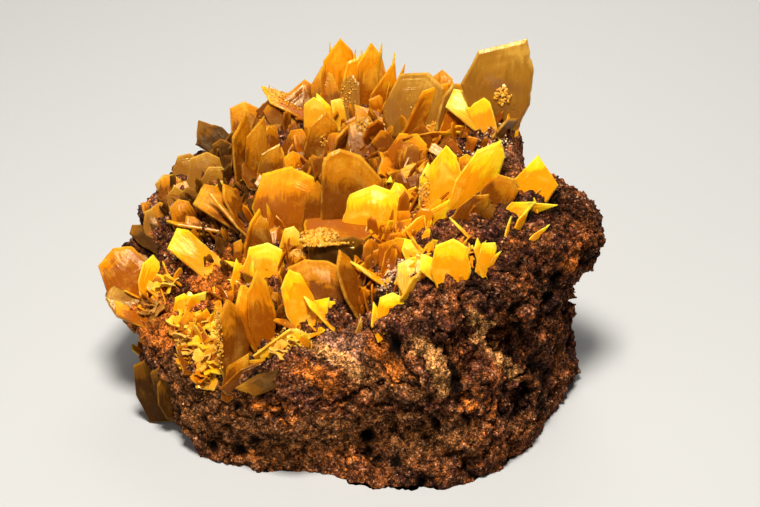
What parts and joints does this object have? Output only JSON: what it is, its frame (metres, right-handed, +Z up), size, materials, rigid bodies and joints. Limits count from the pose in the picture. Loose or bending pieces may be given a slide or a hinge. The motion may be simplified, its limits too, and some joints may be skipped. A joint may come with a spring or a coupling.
{
  "type": "wulfenite specimen",
  "caption": "Knobbly weathered matrix rock on a flat foot, with thin bladed orange-yellow wulfenite crystals standing in sprays over its sloping top.",
  "frame": {"origin": "on the flat foot, under the middle of the block", "axes": "+Z up from the foot, +X to the specimen's right along its longest side, -Y towards its front"},
  "size_m": [0.0956, 0.0734, 0.0602],
  "materials": {
    "matrix": "rough, granular, rust brown with tan veins",
    "wulfenite_yellow": "translucent, bright yellow-orange, satin to vitreous",
    "wulfenite_orange": "translucent, orange, vitreous",
    "wulfenite_amber": "translucent, deep amber, vitreous",
    "wulfenite_brown": "translucent, brown amber, satin",
    "wulfenite_tan": "translucent, honey tan with a milky middle, satin",
    "wulfenite_pale": "translucent, pale straw, sugary"
  },
  "bodies": {
    "root": {"matrix_rock": "matrix", "tall_blade": "wulfenite_tan", "back_plates": "wulfenite_orange", "back_peak": "wulfenite_orange", "speckled_blade": "wulfenite_amber", "amber_upright": "wulfenite_amber", "shaded_plate": "wulfenite_brown", "brown_left_plate": "wulfenite_brown", "narrow_uprights": "wulfenite_amber", "tan_round_plate": "wulfenite_tan", "left_back_plates": "wulfenite_orange", "band_plate": "wulfenite_amber", "left_thin_plate": "wulfenite_orange", "left_tip_plates": "wulfenite_yellow", "bright_left_plate": "wulfenite_yellow", "left_slope_plate": "wulfenite_yellow", "left_slope_curls": "wulfenite_orange", "left_slope_leaf": "wulfenite_amber", "left_foot_curls": "wulfenite_pale", "left_great_blade": "wulfenite_amber", "twin_leaves": "wulfenite_amber", "front_slabs": "wulfenite_pale", "great_plates": "wulfenite_orange", "yellow_block": "wulfenite_yellow", "pale_round": "wulfenite_pale", "narrow_amber": "wulfenite_orange", "orange_plate": "wulfenite_orange", "centre_plates": "wulfenite_yellow", "sparkling_blade": "wulfenite_amber", "bright_group": "wulfenite_yellow", "right_square": "wulfenite_yellow", "right_slivers": "wulfenite_yellow", "front_hex_plate": "wulfenite_yellow", "front_right_chip": "wulfenite_yellow", "front_crest_chips": "wulfenite_pale", "front_low_chips": "wulfenite_yellow", "flank_plate": "wulfenite_brown", "back_rim_middle": "wulfenite_orange", "back_rim_right": "wulfenite_amber"}
  },
  "joints": []
}
